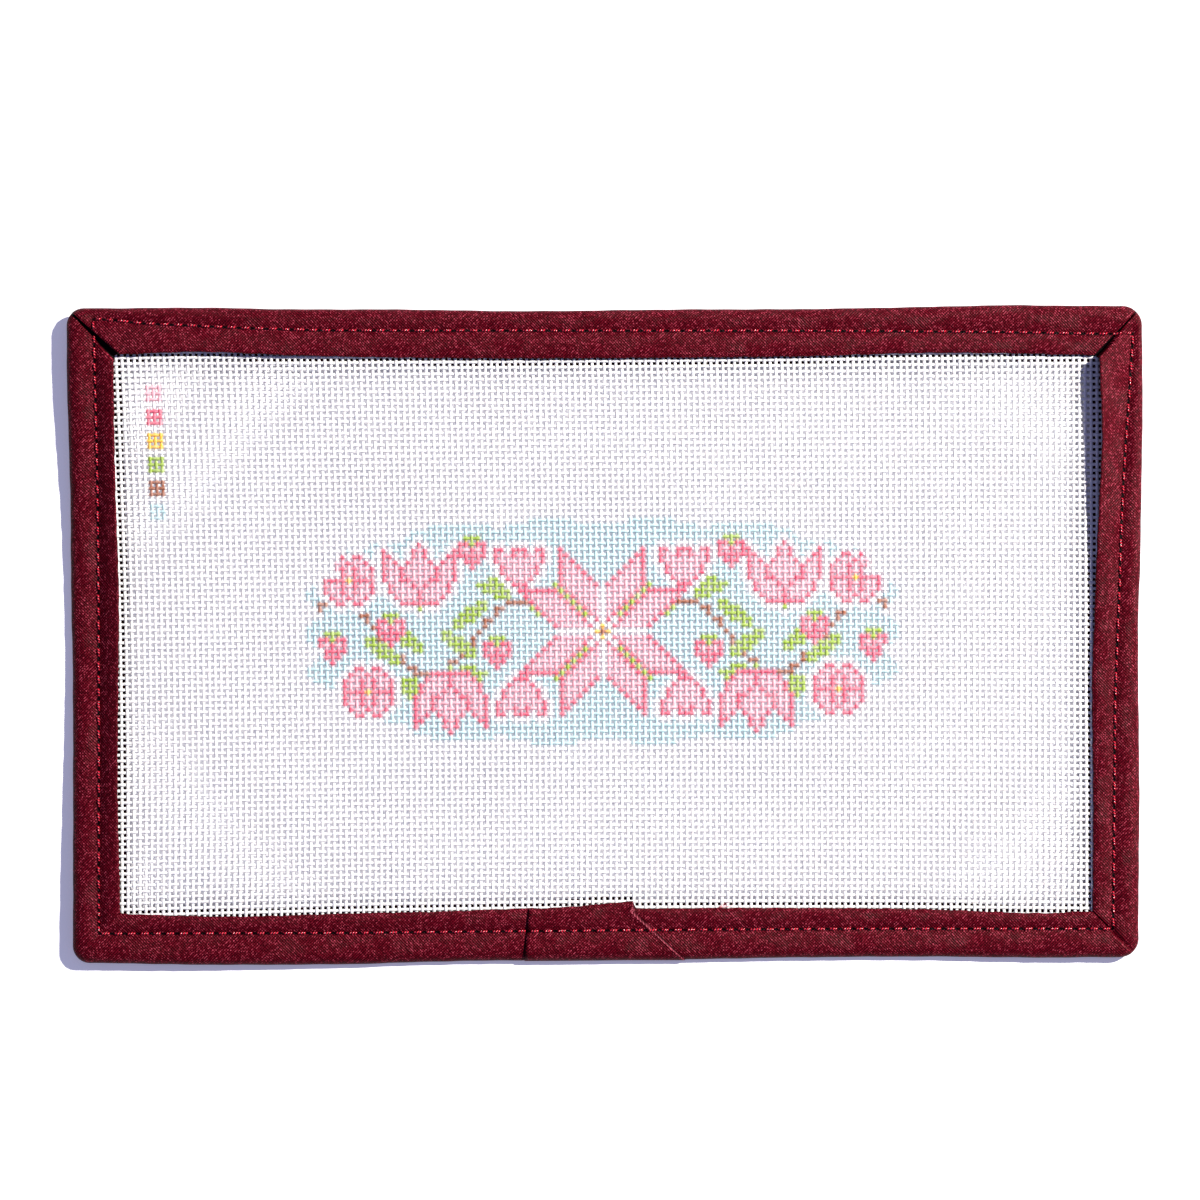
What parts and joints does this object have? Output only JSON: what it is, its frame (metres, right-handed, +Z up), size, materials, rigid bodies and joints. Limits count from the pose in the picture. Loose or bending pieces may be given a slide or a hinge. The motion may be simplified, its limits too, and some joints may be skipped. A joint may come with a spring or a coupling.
{
  "type": "needlepoint canvas panel",
  "caption": "Flat rectangular panel of open-weave needlepoint canvas, its edges bound all round in folded cotton tape with mitred corners.",
  "frame": {"origin": "middle of the panel's underside, on the surface it lies on", "axes": "+X along the panel's length, to the right as it is read; +Y across it, towards its top edge; +Z up, out of its painted face"},
  "size_m": [0.2579, 0.1562, 0.0057],
  "materials": {
    "canvas_cotton": "white sized cotton, plain mono weave",
    "binding_tape": "burgundy cotton, cut on the bias, matt"
  },
  "bodies": {
    "root": {"canvas": "canvas_cotton", "binding": "binding_tape"}
  },
  "joints": []
}
